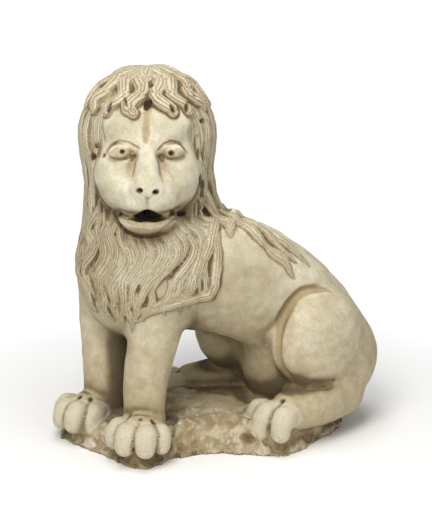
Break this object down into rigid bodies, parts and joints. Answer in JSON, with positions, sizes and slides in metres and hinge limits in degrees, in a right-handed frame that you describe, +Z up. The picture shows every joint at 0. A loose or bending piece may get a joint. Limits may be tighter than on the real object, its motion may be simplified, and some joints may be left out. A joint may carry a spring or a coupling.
{
  "type": "seated lion statue",
  "caption": "Seated stone lion on an irregular rock base, head turned to its left, with a full carved mane, upright forelegs and folded haunches",
  "frame": {"origin": "middle of the bounding box on the flat underside of the rock base", "axes": "+Z up through the head, the lion's body faces -Y and its left side faces +X"},
  "size_m": [0.3542, 0.5386, 0.62],
  "materials": {
    "stone": "aged cream stone with a matt worn surface and brown patina in the recesses"
  },
  "bodies": {
    "root": {"lion": "stone"}
  },
  "joints": []
}
